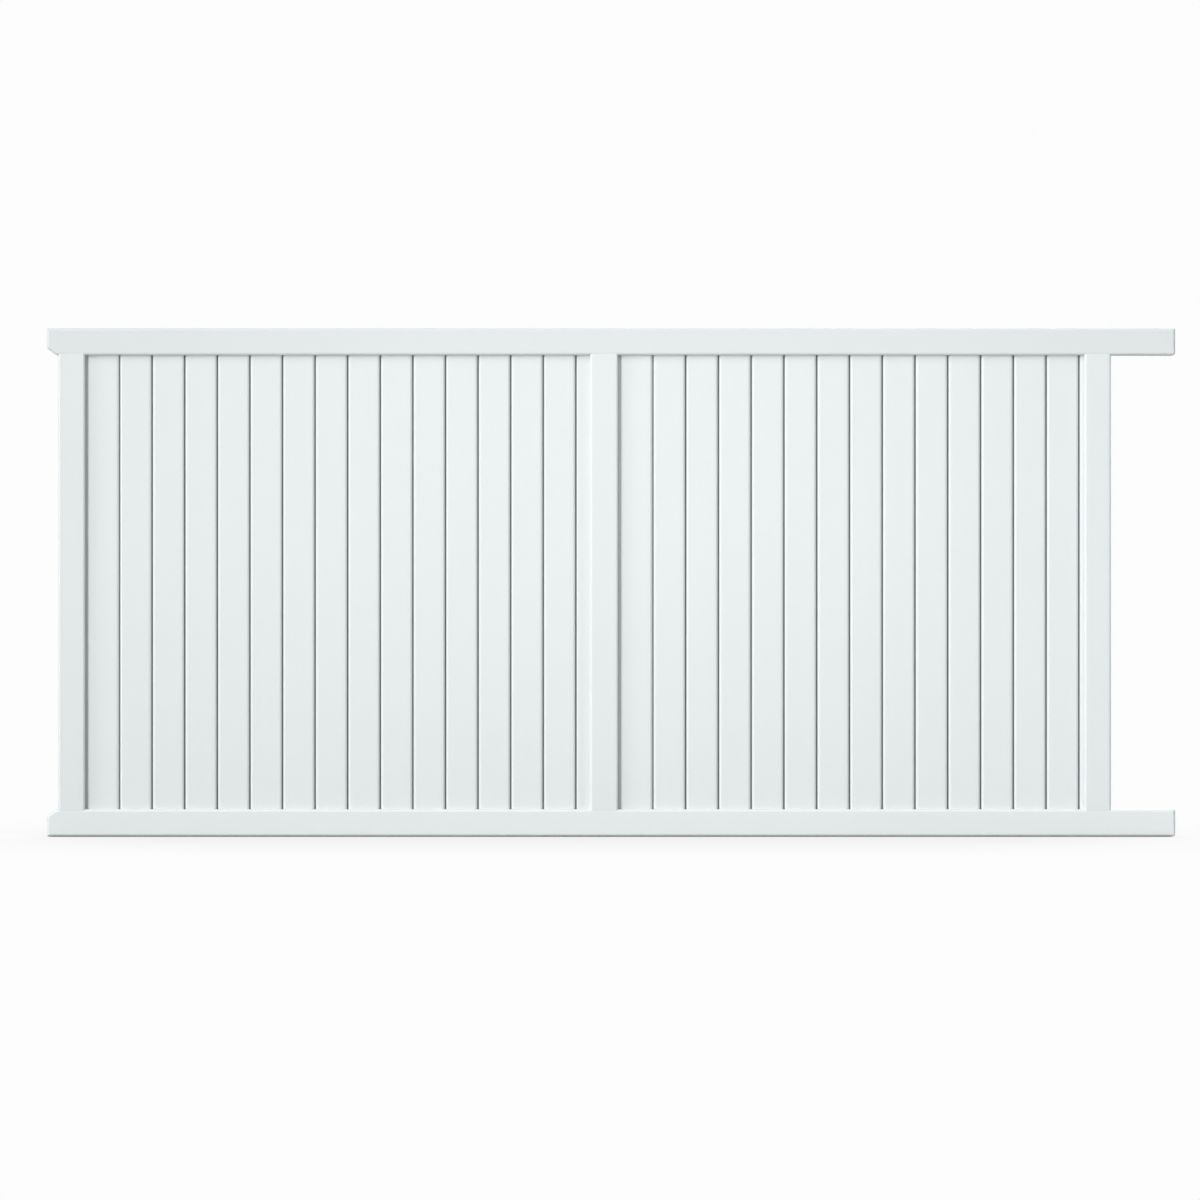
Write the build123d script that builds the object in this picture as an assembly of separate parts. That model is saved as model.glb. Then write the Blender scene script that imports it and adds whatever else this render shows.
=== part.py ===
from build123d import *
import math
import os

# Leaf, seen from the front with its nose to the left, in millimetres
leaf_length = 4000
leaf_height = 1800
frame_depth = 60
rail_height = 95
edge_radius = 9
frame_wall = 2.5

# Stiles, set out along the leaf
outer_stile_width = 95
middle_stile_width = 100
nose_length = 40
tail_length = 228
left_bay_width = 1790
cope_relief = 0.6

# Boards: whole ones share each bay evenly and a ripped strip closes it
left_bay_boards = 15
left_first_offset = 5
left_strip_width = 50
right_bay_boards = 14
right_first_offset = 7
right_strip_width = 17
board_thickness = 24
board_bevel = 6.4
board_wall = 1.5
board_web_count = 2
joint_gap = 2
tongue_length = 14
tongue_thickness = 5.6
tongue_fit = 0.3
groove_spare = 3

# Slot that the boards stand in
slot_depth = 18
slot_fit = 0.4
board_top_play = 3
strip_edge_play = 6

# Rail end caps and slot covers
nose_ramp_length = 34
nose_ramp_height = 24
nose_ramp_radius = 12
nose_tip_radius = 3
nose_end_wall = 12
tail_cap_length = 12
tail_cap_radius = 10
cap_wall = 3
spigot_length = 25
spigot_fit = 0.4
cover_height = 10
cover_wall = 1.6
cover_fit = 0.2

# Sizes that follow
leaf_left = -leaf_length / 2
leaf_right = leaf_length / 2
rail_left = leaf_left + nose_length
rail_right = leaf_right - tail_cap_length
left_bay_left = rail_left + outer_stile_width
left_bay_right = left_bay_left + left_bay_width
right_bay_left = left_bay_right + middle_stile_width
rear_stile_right = leaf_right - tail_length
right_bay_right = rear_stile_right - outer_stile_width
upper_rail_base = leaf_height - rail_height
slot_width = board_thickness + 2 * slot_fit
slot_floor = rail_height - slot_depth
half_board = board_thickness / 2
board_edge = half_board - board_bevel
board_bottom = slot_floor
board_length = leaf_height - 2 * slot_floor - board_top_play
strip_engagement = slot_depth - strip_edge_play
groove_width = tongue_thickness + 2 * tongue_fit
groove_depth = tongue_length - joint_gap + groove_spare
bevel_inset = board_wall * (math.sqrt(2) - 1)
spigot_bottom = frame_wall + spigot_fit
spigot_top = slot_floor - frame_wall - spigot_fit
spigot_depth = frame_depth - 2 * frame_wall - 2 * spigot_fit
spigot_radius = edge_radius - frame_wall
mid_height = Plane.XY.offset(leaf_height / 2)

os.makedirs("parts", exist_ok=True)


def save(shape, name):
    shape.label = name
    export_step(shape, f"parts/{name}.step")


# A box given by its two corners
def block(low, high):
    size = [b - a for a, b in zip(low, high)]
    centre = [(a + b) / 2 for a, b in zip(low, high)]
    return Pos(*centre) * Box(*size)


# Hollow frame bar with a lined board slot on each side named in slot_sides
def frame_section(width, slot_sides):
    inner_radius = edge_radius - frame_wall
    outline = RectangleRounded(width, frame_depth, edge_radius)
    hollow = RectangleRounded(width - 2 * frame_wall, frame_depth - 2 * frame_wall, inner_radius)
    lined_depth = slot_depth + frame_wall
    lined_width = slot_width + 2 * frame_wall
    for side in slot_sides:
        outline -= Pos(side * (width - slot_depth) / 2, 0) * Rectangle(slot_depth, slot_width)
        hollow -= Pos(side * (width - lined_depth) / 2, 0) * Rectangle(lined_depth, lined_width)
    return outline - hollow


# Rails, which run the whole leaf between their end caps
def rail(base, slot_side):
    section = Pos(0, base + rail_height / 2) * Rot(0, 0, 90) * frame_section(rail_height, [slot_side])
    return extrude(Plane.YZ.offset(rail_left) * section, rail_right - rail_left)


save(rail(0, 1), "bottom_rail")
save(rail(upper_rail_base, -1), "top_rail")


# Stiles, coped over the rounded edges of the rails and bearing on their flat faces
def rail_envelope(base):
    section = RectangleRounded(frame_depth + 2 * cope_relief, rail_height, edge_radius)
    section = Plane.YZ.offset(leaf_left) * Pos(0, base + rail_height / 2) * section
    return extrude(section, leaf_length)


def stile(left, width, slot_sides):
    foot = rail_height - edge_radius
    section = Pos(left + width / 2, 0, foot) * frame_section(width, slot_sides)
    bar = extrude(section, leaf_height - 2 * foot)
    return bar - rail_envelope(0) - rail_envelope(upper_rail_base)


save(stile(rail_left, outer_stile_width, [1]), "leading_stile")
save(stile(left_bay_right, middle_stile_width, [-1, 1]), "middle_stile")
save(stile(right_bay_right, outer_stile_width, [-1]), "rear_stile")


# Hollow tongue-and-groove board with a bevel on all four long edges, tongue to the left
def bevelled(body, inset, corner):
    face = half_board - inset
    edge = board_edge - corner
    turn = board_bevel + corner
    lower = [(inset, -edge), (turn, -face), (body - turn, -face), (body - inset, -edge)]
    upper = [(x, -y) for x, y in reversed(lower)]
    return Polygon(*lower, *upper, align=None)


def board_section(body):
    groove_back = body - groove_depth
    hollow = bevelled(body, board_wall, bevel_inset)
    hollow -= Pos(groove_back - board_wall / 2, 0) * Rectangle(board_wall, board_thickness)
    web_spacing = groove_back / (board_web_count + 1)
    for web in range(board_web_count):
        hollow -= Pos((web + 1) * web_spacing, 0) * Rectangle(board_wall, board_thickness)
    groove_centre = body - groove_depth / 2
    hollow -= Pos(groove_centre, 0) * Rectangle(groove_depth, groove_width + 2 * board_wall)
    tongue_reach = tongue_length + board_wall
    tongue = Pos(tongue_reach / 2 - tongue_length, 0) * Rectangle(tongue_reach, tongue_thickness)
    groove = Pos(groove_centre, 0) * Rectangle(groove_depth, groove_width)
    return bevelled(body, 0, 0) - hollow + tongue - groove


# A strip is a whole board sawn to width, its sawn edge standing in the stile slot
def ripped(section, width):
    kept = tongue_length + width
    return section & (Pos(kept / 2 - tongue_length, 0) * Rectangle(kept, board_thickness))


def fill_bay(bay, bay_left, bay_right, first_offset, count, strip_width):
    first_joint = bay_left + first_offset
    pitch = (bay_right - first_joint - strip_width) / count
    whole = board_section(pitch - joint_gap)
    strip = ripped(whole, strip_width - joint_gap / 2 + strip_engagement)
    for index, section in enumerate([whole] * count + [strip]):
        shoulder = first_joint + index * pitch + joint_gap / 2
        board = extrude(Pos(shoulder, 0, board_bottom) * section, board_length)
        save(board, f"{bay}_bay_board_{index + 1:02d}")


fill_bay("left", left_bay_left, left_bay_right, left_first_offset, left_bay_boards, left_strip_width)
fill_bay("right", right_bay_left, right_bay_right, right_first_offset, right_bay_boards, right_strip_width)


# Hollow plug that holds a cap in the end of the bottom rail
def plug(cap, mate, into_rail, pocket_reach):
    half = spigot_depth / 2
    end = mate + into_rail * spigot_length
    spigot = block((min(mate, end), -half, spigot_bottom), (max(mate, end), half, spigot_top))
    cap += fillet(spigot.edges().filter_by(Axis.X), spigot_radius)
    inner = half - cap_wall
    back = mate - into_rail * pocket_reach
    low = (min(back, end), -inner, spigot_bottom + cap_wall)
    high = (max(back, end), inner, spigot_top - cap_wall)
    return cap - block(low, high)


# Nose caps, ramped on the side that faces the other rail
def nose_cap():
    ramp_foot = (leaf_left, rail_height - nose_ramp_height)
    ramp_head = (leaf_left + nose_ramp_length, rail_height)
    square_end = [(leaf_left, 0), (rail_left, 0), (rail_left, rail_height)]
    blank = Polygon(*square_end, ramp_head, ramp_foot, align=None)
    tip, foot = blank.vertices().group_by(Axis.X)[0].sort_by(Axis.Y)
    head = blank.vertices().group_by(Axis.Y)[-1].sort_by(Axis.X)[0]
    cap = extrude(Plane.XZ * fillet([foot, head], nose_ramp_radius), frame_depth / 2, both=True)
    rounded = []
    for side in (cap.faces().sort_by(Axis.Y)[0], cap.faces().sort_by(Axis.Y)[-1]):
        rounded += side.edges().sort_by(Axis.X)[:-1]
    cap = fillet(rounded, edge_radius)
    cap &= extrude(Plane.XZ * fillet(tip, nose_tip_radius), frame_depth / 2, both=True)
    return plug(cap, rail_left, 1, nose_length - nose_end_wall)


# Tail caps, rounded over from the rail faces to the end
def tail_cap():
    middle = leaf_right - tail_cap_length / 2
    plan = Pos(middle, 0) * Rectangle(tail_cap_length, frame_depth)
    plan = fillet(plan.vertices().group_by(Axis.X)[-1], tail_cap_radius)
    side = Pos(middle, rail_height / 2) * Rectangle(tail_cap_length, rail_height)
    side = fillet(side.vertices().group_by(Axis.X)[-1], edge_radius)
    section = Pos(0, rail_height / 2) * RectangleRounded(frame_depth, rail_height, edge_radius)
    cap = extrude(Plane.YZ.offset(rail_right) * section, tail_cap_length)
    cap &= extrude(plan, rail_height)
    cap &= extrude(Plane.XZ * side, frame_depth / 2, both=True)
    return plug(cap, rail_right, -1, tail_cap_length - cap_wall)


# Snap-in covers that close the rail slots behind the rear stile
def slot_cover():
    width = slot_width - 2 * cover_fit
    section = Rectangle(width, cover_height)
    section -= Pos(0, -cover_wall) * Rectangle(width - 2 * cover_wall, cover_height)
    section = Pos(0, rail_height - cover_height / 2) * section
    return extrude(Plane.YZ.offset(rear_stile_right) * section, rail_right - rear_stile_right)


for name, lower in (("nose_cap", nose_cap()), ("tail_cap", tail_cap()), ("slot_cover", slot_cover())):
    save(lower, f"bottom_{name}")
    save(mirror(lower, about=mid_height), f"top_{name}")
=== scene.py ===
import math

import bmesh
import bpy
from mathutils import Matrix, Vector


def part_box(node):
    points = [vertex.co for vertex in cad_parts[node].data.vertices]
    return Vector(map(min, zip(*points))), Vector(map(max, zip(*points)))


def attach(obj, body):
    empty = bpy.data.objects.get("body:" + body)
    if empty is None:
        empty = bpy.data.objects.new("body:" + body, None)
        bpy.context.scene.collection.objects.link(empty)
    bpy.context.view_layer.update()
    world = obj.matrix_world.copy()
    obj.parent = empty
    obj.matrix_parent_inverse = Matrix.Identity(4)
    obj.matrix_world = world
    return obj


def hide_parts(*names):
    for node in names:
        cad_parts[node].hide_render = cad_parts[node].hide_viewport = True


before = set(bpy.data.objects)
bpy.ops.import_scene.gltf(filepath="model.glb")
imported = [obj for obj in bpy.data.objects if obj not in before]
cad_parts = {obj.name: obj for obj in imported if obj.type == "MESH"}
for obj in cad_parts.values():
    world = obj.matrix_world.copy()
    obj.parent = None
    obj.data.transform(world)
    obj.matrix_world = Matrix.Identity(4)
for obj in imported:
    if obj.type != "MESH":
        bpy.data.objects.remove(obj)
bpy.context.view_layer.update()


# Bottom rail: a hollow aluminium bar the length of the leaf, with the slot on top that the boards
# stand in. Its white powder coat is baked on after the bar is cut, and dries to a fine orange peel.
def new_group(name, inputs, outputs):
    tree = bpy.data.node_groups.new(name, "ShaderNodeTree")
    for label, kind, value in inputs:
        socket = tree.interface.new_socket(label, in_out="INPUT", socket_type=kind)
        socket.default_value = value
    for label, kind in outputs:
        tree.interface.new_socket(label, in_out="OUTPUT", socket_type=kind)
    return tree, tree.nodes.new("NodeGroupInput"), tree.nodes.new("NodeGroupOutput")


def add_noise(tree, place, scale, detail):
    noise = tree.nodes.new("ShaderNodeTexNoise")
    noise.inputs["Detail"].default_value = detail
    if isinstance(scale, float):
        noise.inputs["Scale"].default_value = scale
    else:
        tree.links.new(scale, noise.inputs["Scale"])
    tree.links.new(place, noise.inputs["Vector"])
    return noise.outputs["Fac"]


def add_math(tree, operation, first, second, third=None):
    node = tree.nodes.new("ShaderNodeMath")
    node.operation = operation
    for socket, value in zip(node.inputs, (first, second, third)):
        if isinstance(value, (int, float)):
            socket.default_value = value
        elif value is not None:
            tree.links.new(value, socket)
    return node.outputs[0]


def scale_colour(tree, colour, share):
    node = tree.nodes.new("ShaderNodeVectorMath")
    node.operation = "SCALE"
    tree.links.new(colour, node.inputs[0])
    tree.links.new(share, node.inputs["Scale"])
    return node.outputs[0]


coat_group, coat_in, coat_out = new_group(
    "powder_coat",
    [
        ("Colour", "NodeSocketColor", (0.8, 0.8, 0.8, 1)),
        ("Tone spread", "NodeSocketFloat", 0.02),
        ("Gloss", "NodeSocketFloat", 0.4),
        ("Gloss spread", "NodeSocketFloat", 0.08),
        ("Peel per metre", "NodeSocketFloat", 420.0),
    ],
    [("Colour", "NodeSocketColor"), ("Roughness", "NodeSocketFloat"), ("Peel", "NodeSocketFloat")],
)
clouds_per_metre = 2.3
cloud_detail = 3.0
patches_per_metre = 38.0
patch_detail = 2.0
peel_detail = 1.0
noise_middle = 0.5
coat_place = coat_group.nodes.new("ShaderNodeTexCoord").outputs["Object"]
cloud = add_noise(coat_group, coat_place, clouds_per_metre, cloud_detail)
cloud = add_math(coat_group, "SUBTRACT", cloud, noise_middle)
tone = add_math(coat_group, "MULTIPLY_ADD", cloud, coat_in.outputs["Tone spread"], 1.0)
tinted = scale_colour(coat_group, coat_in.outputs["Colour"], tone)
coat_group.links.new(tinted, coat_out.inputs["Colour"])
patch = add_noise(coat_group, coat_place, patches_per_metre, patch_detail)
patch = add_math(coat_group, "SUBTRACT", patch, noise_middle)
gloss = add_math(
    coat_group, "MULTIPLY_ADD", patch, coat_in.outputs["Gloss spread"], coat_in.outputs["Gloss"]
)
coat_group.links.new(gloss, coat_out.inputs["Roughness"])
peel = add_noise(coat_group, coat_place, coat_in.outputs["Peel per metre"], peel_detail)
coat_group.links.new(peel, coat_out.inputs["Peel"])


def coated(name, colour, tone_spread, gloss, peel_per_metre, peel_height):
    material = bpy.data.materials.new(name)
    material.use_nodes = True
    tree = material.node_tree
    shader = tree.nodes["Principled BSDF"]
    skin = tree.nodes.new("ShaderNodeGroup")
    skin.name = "skin"
    skin.node_tree = coat_group
    skin.inputs["Colour"].default_value = (*colour, 1)
    skin.inputs["Tone spread"].default_value = tone_spread
    skin.inputs["Gloss"].default_value = gloss
    skin.inputs["Peel per metre"].default_value = peel_per_metre
    bump = tree.nodes.new("ShaderNodeBump")
    bump.inputs["Strength"].default_value = 1.0
    bump.inputs["Distance"].default_value = peel_height
    tree.links.new(skin.outputs["Colour"], shader.inputs["Base Color"])
    tree.links.new(skin.outputs["Roughness"], shader.inputs["Roughness"])
    tree.links.new(skin.outputs["Peel"], bump.inputs["Height"])
    tree.links.new(bump.outputs["Normal"], shader.inputs["Normal"])
    return material


def dress(node, material):
    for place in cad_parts[node].material_slots:
        place.material = material


bar_finish = {"tone_spread": 0.03, "gloss": 0.42, "peel_per_metre": 420.0, "peel_height": 0.00003}
# The bars share one white, but each gets its own lighter or darker copy as painted light and shade.
bottom_rail_white_as_lit = (0.737, 0.773, 0.774)
bottom_rail_coat = coated("bottom_rail_coat", bottom_rail_white_as_lit, **bar_finish)
dress("bottom_rail", bottom_rail_coat)

# Stiles: three hollow bars between the rails, coped over the rails' rounded edges so that only a
# fine seam shows. They are extruded, sawn and powder coated; their white is darkened as painted shade.
stile_white_as_lit = (0.711, 0.746, 0.747)
stile_coat = coated("stile_coat", stile_white_as_lit, **bar_finish)
for stile in ("leading_stile", "middle_stile", "rear_stile"):
    dress(stile, stile_coat)

# Boards: hollow extruded planks that stand side by side in the slots, tongue in groove, with a soft
# bevel on each long edge so that two of them make a V joint. Their colour is darkened deep in each
# joint as painted shade, less on the first board of a bay. The last one is a strip sawn to width.
# Painted shade: the colour darkens towards a board's middle plane, that is deep in the joints.
joint_shade_group, joint_shade_in, joint_shade_out = new_group(
    "painted_joint_shade",
    [("Colour", "NodeSocketColor", (0.8, 0.8, 0.8, 1)), ("Darkest share", "NodeSocketFloat", 0.2)],
    [("Colour", "NodeSocketColor")],
)
darkest_within = 0.005
unshaded_from = 0.0092
joint_place = joint_shade_group.nodes.new("ShaderNodeSeparateXYZ")
joint_coords = joint_shade_group.nodes.new("ShaderNodeTexCoord")
joint_shade_group.links.new(joint_coords.outputs["Object"], joint_place.inputs[0])
from_middle = add_math(joint_shade_group, "ABSOLUTE", joint_place.outputs["Y"], 0)
joint_shade_ramp = joint_shade_group.nodes.new("ShaderNodeMapRange")
joint_shade_ramp.inputs["From Min"].default_value = darkest_within
joint_shade_ramp.inputs["From Max"].default_value = unshaded_from
joint_shade_group.links.new(from_middle, joint_shade_ramp.inputs["Value"])
joint_shade_group.links.new(joint_shade_in.outputs["Darkest share"], joint_shade_ramp.inputs["To Min"])
joint_shaded = scale_colour(joint_shade_group, joint_shade_in.outputs["Colour"], joint_shade_ramp.outputs[0])
joint_shade_group.links.new(joint_shaded, joint_shade_out.inputs["Colour"])
board_finish = {"tone_spread": 0.025, "gloss": 0.4, "peel_per_metre": 460.0, "peel_height": 0.000025}


def board_coated_with_joint_shade(name, colour, darkest_share):
    material = coated(name, colour, **board_finish)
    tree = material.node_tree
    joint_shade = tree.nodes.new("ShaderNodeGroup")
    joint_shade.node_tree = joint_shade_group
    joint_shade.inputs["Darkest share"].default_value = darkest_share
    tree.links.new(tree.nodes["skin"].outputs["Colour"], joint_shade.inputs["Colour"])
    tree.links.new(joint_shade.outputs["Colour"], tree.nodes["Principled BSDF"].inputs["Base Color"])
    return material


# The first board and the strip get lighter and darker copies of the board white, as painted light and
# shade.
board_white_as_lit = (0.72, 0.755, 0.756)
first_board_white_as_lit = (0.725, 0.76, 0.761)
strip_white_as_lit = (0.693, 0.726, 0.727)
# How dark the painted joint shade gets; the first board of a bay, beside a stile's shadow, gets less.
between_boards_darkest = 0.17
first_board_darkest = 0.75
board_coat = board_coated_with_joint_shade("board_coat", board_white_as_lit, between_boards_darkest)
first_board_coat = board_coated_with_joint_shade("first_board_coat", first_board_white_as_lit, first_board_darkest)
strip_coat = board_coated_with_joint_shade("strip_coat", strip_white_as_lit, between_boards_darkest)

board_thickness = 0.024
board_bevel = 0.0064
face_round = 0.0109
nib_round = 0.0045
arris_radius = 0.0006
tongue_length = 0.014
tongue_thickness = 0.0056
groove_width = 0.0062
groove_depth = 0.015
round_steps = 6
weld_distance = 0.00001

board_tree = bpy.data.node_groups.new("upright_board", "GeometryNodeTree")
for label, kind in (
    ("Section", "NodeSocketGeometry"),
    ("Radius name", "NodeSocketString"),
    ("Foot", "NodeSocketFloat"),
    ("Length", "NodeSocketFloat"),
    ("Coat", "NodeSocketMaterial"),
):
    board_tree.interface.new_socket(label, in_out="INPUT", socket_type=kind)
board_tree.interface.new_socket("Board", in_out="OUTPUT", socket_type="NodeSocketGeometry")


def board_node(kind, links, **settings):
    node = board_tree.nodes.new(kind)
    for key, value in settings.items():
        setattr(node, key, value)
    for key, value in links.items():
        if isinstance(value, bpy.types.NodeSocket):
            board_tree.links.new(value, node.inputs[key])
        else:
            node.inputs[key].default_value = value
    return node


sizes = board_tree.nodes.new("NodeGroupInput").outputs
line = board_node("GeometryNodeMeshToCurve", {"Mesh": sizes["Section"]})
radius = board_node("GeometryNodeInputNamedAttribute", {"Name": sizes["Radius name"]}, data_type="FLOAT")
corner = {"Radius": radius.outputs["Attribute"], "Count": round_steps, "Limit Radius": True}
soft_line = board_node("GeometryNodeFilletCurve", {"Curve": line.outputs[0], **corner}, mode="POLY")
foot_face = board_node("GeometryNodeFillCurve", {"Curve": soft_line.outputs[0]}, mode="NGONS")
upward = {"Offset": (0, 0, 1), "Offset Scale": sizes["Length"], "Individual": False}
body = board_node("GeometryNodeExtrudeMesh", {"Mesh": foot_face.outputs[0], **upward})
under = board_node("GeometryNodeFlipFaces", {"Mesh": foot_face.outputs[0]})
joined = board_tree.nodes.new("GeometryNodeJoinGeometry")
board_tree.links.new(body.outputs["Mesh"], joined.inputs[0])
board_tree.links.new(under.outputs[0], joined.inputs[0])
welded = {"Geometry": joined.outputs[0], "Distance": weld_distance}
closed = board_node("GeometryNodeMergeByDistance", welded)
rise = board_node("ShaderNodeCombineXYZ", {"Z": sizes["Foot"]})
lifted = {"Geometry": closed.outputs[0], "Offset": rise.outputs[0]}
stood = board_node("GeometryNodeSetPosition", lifted)
real = board_node("GeometryNodeRealizeInstances", {"Geometry": stood.outputs[0]})
painted = {"Geometry": real.outputs[0], "Material": sizes["Coat"]}
coat = board_node("GeometryNodeSetMaterial", painted)
board_out = board_tree.nodes.new("NodeGroupOutput")
board_tree.links.new(coat.outputs[0], board_out.inputs[0])
board_sockets = {}
for item in board_tree.interface.items_tree:
    if item.in_out == "INPUT":
        board_sockets[item.name] = item.identifier


def board_outline(shoulder, edge, whole):
    half = board_thickness / 2
    nib = half - board_bevel
    lip = groove_width / 2
    tongue = tongue_thickness / 2
    front = [
        (shoulder - tongue_length, -tongue, arris_radius),
        (shoulder, -tongue, arris_radius),
        (shoulder, -nib, nib_round),
        (shoulder + board_bevel, -half, face_round),
    ]
    if whole:
        front += [
            (edge - board_bevel, -half, face_round),
            (edge, -nib, nib_round),
            (edge, -lip, arris_radius),
            (edge - groove_depth, -lip, arris_radius),
        ]
    else:
        front += [(edge, -half, 0)]
    return front + [(x, -y, radius) for x, y, radius in reversed(front)]


def stand_board(node, piece, whole, material):
    low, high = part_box(node)
    points = board_outline(low.x + tongue_length, high.x, whole)
    outline = bpy.data.meshes.new(piece + "_outline")
    ring = [(i, (i + 1) % len(points)) for i in range(len(points))]
    outline.from_pydata([(x, y, 0) for x, y, _ in points], ring, [])
    radii = outline.attributes.new("corner_radius", "FLOAT", "POINT")
    radii.data.foreach_set("value", [radius for _, _, radius in points])
    board = bpy.data.objects.new(piece, outline)
    bpy.context.scene.collection.objects.link(board)
    growth = board.modifiers.new("board", "NODES")
    growth.node_group = board_tree
    growth[board_sockets["Radius name"]] = "corner_radius"
    growth[board_sockets["Foot"]] = low.z
    growth[board_sockets["Length"]] = high.z - low.z
    growth[board_sockets["Coat"]] = material
    grown = bpy.data.meshes.new_from_object(board.evaluated_get(bpy.context.evaluated_depsgraph_get()))
    board.modifiers.remove(growth)
    board.data = grown
    grown.name = piece
    shell = bmesh.new()
    shell.from_mesh(grown)
    bmesh.ops.recalc_face_normals(shell, faces=shell.faces)
    shell.to_mesh(grown)
    shell.free()
    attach(board, "root")
    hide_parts(node)


for bay in ("left", "right"):
    count = sum(node.startswith(f"{bay}_bay_board_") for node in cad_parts)
    for number in range(1, count + 1):
        whole = number < count
        material = strip_coat
        if whole:
            material = first_board_coat if number == 1 else board_coat
        stand_board(f"{bay}_bay_board_{number:02d}", f"{bay}_board_{number:02d}", whole, material)

# Top rail: the same hollow aluminium bar as the bottom rail, slot downwards, powder coated white.
# It closes the leaf over the boards and is held by the stiles.
# Its copy of the white is the darkest of the bars, as painted shade.
top_rail_white_as_lit = (0.677, 0.709, 0.71)
top_rail_coat = coated("top_rail_coat", top_rail_white_as_lit, **bar_finish)
dress("top_rail", top_rail_coat)

# Slot covers: snap-in strips of coated aluminium that close the rail slots in the tail, where no
# board stands.
# They take their rail's copy of the white, painted shade included.
dress("bottom_slot_cover", bottom_rail_coat)
dress("top_slot_cover", top_rail_coat)

# End caps: moulded white plastic caps pushed into the ends of the rails, ramped at the nose and
# rounded over at the tail. Each takes its rail's copy of the white, painted shade included.
cap_finish = {"tone_spread": 0.02, "gloss": 0.48, "peel_per_metre": 700.0, "peel_height": 0.00002}
for rail, rail_white_as_lit in (("top", top_rail_white_as_lit), ("bottom", bottom_rail_white_as_lit)):
    cap_polymer = coated(f"{rail}_cap_polymer", rail_white_as_lit, **cap_finish)
    dress(f"{rail}_nose_cap", cap_polymer)
    dress(f"{rail}_tail_cap", cap_polymer)

# Floor: a wide pale studio floor just under the leaf. The camera sees a glowing white with a painted
# shadow close to the leaf; to the light it is a matt grey, darkened near the leaf as painted shade.
floor_level = -0.0025
floor_reach = 60
floor_grey = 0.5
shaded_grey_under_leaf = 0.38
shade_reach = 1.3
shade_samples = 16
half_open = 0.5
floor_white = 0.98
soft_shade_depth = 0.22
contact_shadow_depth = 0.7
contact_shadow_power = 6.0
corners = [(-floor_reach, -floor_reach), (floor_reach, -floor_reach)]
corners += [(floor_reach, floor_reach), (-floor_reach, floor_reach)]
floor_mesh = bpy.data.meshes.new("floor")
floor_mesh.from_pydata([(x, y, floor_level) for x, y in corners], [], [(0, 1, 2, 3)])
floor = bpy.data.objects.new("floor", floor_mesh)
bpy.context.scene.collection.objects.link(floor)
floor_paint = bpy.data.materials.new("floor_paint")
floor_paint.use_nodes = True
floor_tree = floor_paint.node_tree
floor_shader = floor_tree.nodes["Principled BSDF"]
floor_shader.inputs["Roughness"].default_value = 1.0
floor_shader.inputs["Specular IOR Level"].default_value = 0.0
# Painted shadow: ambient occlusion darkens the seen white and the grey near the leaf.
nearness = floor_tree.nodes.new("ShaderNodeAmbientOcclusion")
nearness.samples = shade_samples
nearness.inputs["Distance"].default_value = shade_reach
floor_grey_shade = floor_tree.nodes.new("ShaderNodeMapRange")
floor_grey_shade.inputs["From Min"].default_value = half_open
floor_grey_shade.inputs["To Min"].default_value = shaded_grey_under_leaf
floor_grey_shade.inputs["To Max"].default_value = floor_grey
floor_tree.links.new(nearness.outputs["AO"], floor_grey_shade.inputs["Value"])
floor_tree.links.new(floor_grey_shade.outputs[0], floor_shader.inputs["Base Color"])
covered = add_math(floor_tree, "SUBTRACT", 1.0, nearness.outputs["AO"])
painted_contact_shadow = add_math(floor_tree, "POWER", covered, contact_shadow_power)
soft_shade = add_math(floor_tree, "MULTIPLY_ADD", covered, -soft_shade_depth, floor_white)
whole_shade = add_math(floor_tree, "MULTIPLY_ADD", painted_contact_shadow, -contact_shadow_depth, soft_shade)
bright_floor = floor_tree.nodes.new("ShaderNodeEmission")
floor_tree.links.new(whole_shade, bright_floor.inputs["Strength"])
floor_path = floor_tree.nodes.new("ShaderNodeLightPath")
floor_seen = floor_tree.nodes.new("ShaderNodeMixShader")
floor_tree.links.new(floor_path.outputs["Is Camera Ray"], floor_seen.inputs[0])
floor_tree.links.new(floor_shader.outputs[0], floor_seen.inputs[1])
floor_tree.links.new(bright_floor.outputs[0], floor_seen.inputs[2])
floor_tree.links.new(floor_seen.outputs[0], floor_tree.nodes["Material Output"].inputs["Surface"])
floor_mesh.materials.append(floor_paint)

# Surround: a soft studio fill, slightly cool and brightest overhead, that lights the leaf from all
# round. The camera sees a plain white card in its place.
fill_tint = (0.97, 0.985, 1, 1)
fill_at_horizon = 0.18
fill_overhead = 0.51
card_white = 0.98
world = bpy.data.worlds.new("surround")
bpy.context.scene.world = world
world.use_nodes = True
surround = world.node_tree
fill_light = surround.nodes["Background"]
fill_light.inputs["Color"].default_value = fill_tint
height = surround.nodes.new("ShaderNodeSeparateXYZ")
surround.links.new(surround.nodes.new("ShaderNodeTexCoord").outputs["Generated"], height.inputs[0])
rising = surround.nodes.new("ShaderNodeMapRange")
rising.inputs["To Min"].default_value = fill_at_horizon
rising.inputs["To Max"].default_value = fill_overhead
surround.links.new(height.outputs["Z"], rising.inputs["Value"])
surround.links.new(rising.outputs[0], fill_light.inputs["Strength"])
white_card = surround.nodes.new("ShaderNodeBackground")
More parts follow.
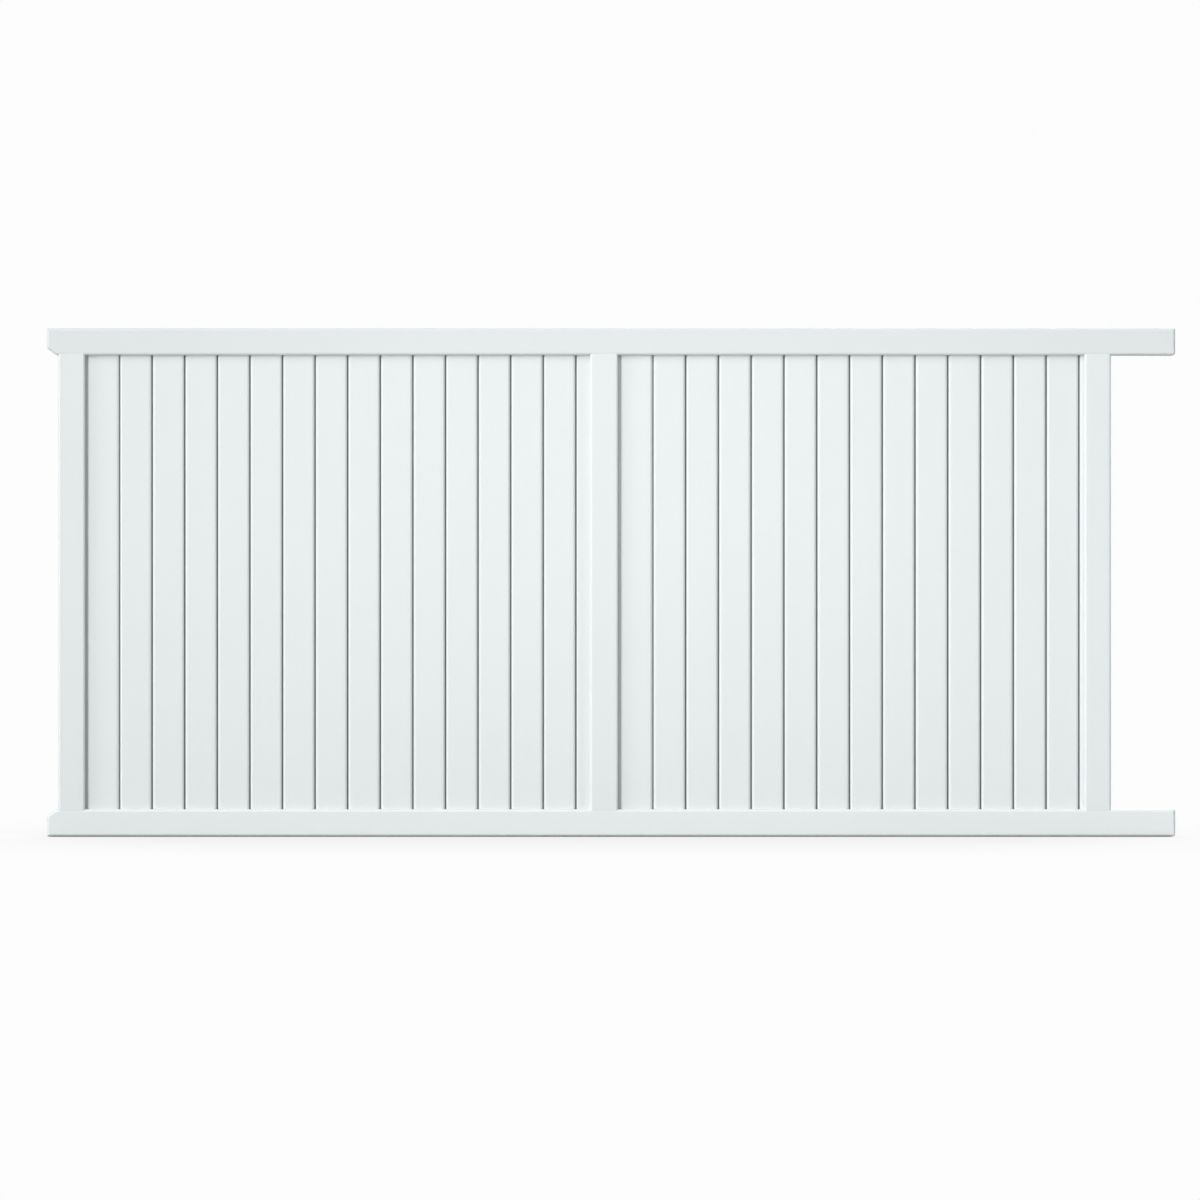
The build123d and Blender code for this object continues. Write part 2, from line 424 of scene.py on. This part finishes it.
white_card.inputs["Color"].default_value = (1, 1, 1, 1)
white_card.inputs["Strength"].default_value = card_white
seen = surround.nodes.new("ShaderNodeLightPath")
either = surround.nodes.new("ShaderNodeMixShader")
surround.links.new(seen.outputs["Is Camera Ray"], either.inputs[0])
surround.links.new(fill_light.outputs[0], either.inputs[1])
surround.links.new(white_card.outputs[0], either.inputs[2])
surround.links.new(either.outputs[0], surround.nodes["World Output"].inputs["Surface"])


# Lights: a broad soft key from the upper left, a weak low light along the face that picks out the
# left edges, a wide lamp in front that lifts the middle, and a soft light for the back.
def hang_light(light, location, aim):
    lamp = bpy.data.objects.new(light.name, light)
    lamp.location = location
    lamp.rotation_euler = Vector(aim).to_track_quat("-Z", "Y").to_euler()
    bpy.context.scene.collection.objects.link(lamp)


def far_light(name, strength, spread, aim):
    light = bpy.data.lights.new(name, "SUN")
    light.energy = strength
    light.angle = math.radians(spread)
    hang_light(light, (0, 0, 0), aim)


far_light("key", strength=1.97, spread=55, aim=(0.47, 0.74, -0.594))
far_light("edge", strength=0.85, spread=15, aim=(0.95, 0.3, -0.1))
far_light("rear", strength=2.3, spread=60, aim=(-0.5, -0.8, -0.4))
front_distance = 5.32
front_height = 1.63
front_aim_height = 1.0
front_lamp = bpy.data.lights.new("front_lamp", "AREA")
front_lamp.shape = "RECTANGLE"
front_lamp.size = 3.0
front_lamp.size_y = 1.5
front_lamp.energy = 56
front_aim = (0, front_distance, front_aim_height - front_height)
hang_light(front_lamp, (0, -front_distance, front_height), front_aim)

# Camera: level and far off in front of the leaf, with a long lens, so that the view is close to a
# flat elevation.
camera_place = (-0.0395, -15.03, 0.837)
level = math.radians(90)
camera_data = bpy.data.cameras.new("camera")
camera_data.sensor_width = 36
camera_data.lens = 127.0
camera = bpy.data.objects.new("camera", camera_data)
camera.location = camera_place
camera.rotation_euler = (level, 0, 0)
bpy.context.scene.collection.objects.link(camera)
bpy.context.scene.camera = camera
bpy.context.scene.view_settings.view_transform = "Standard"
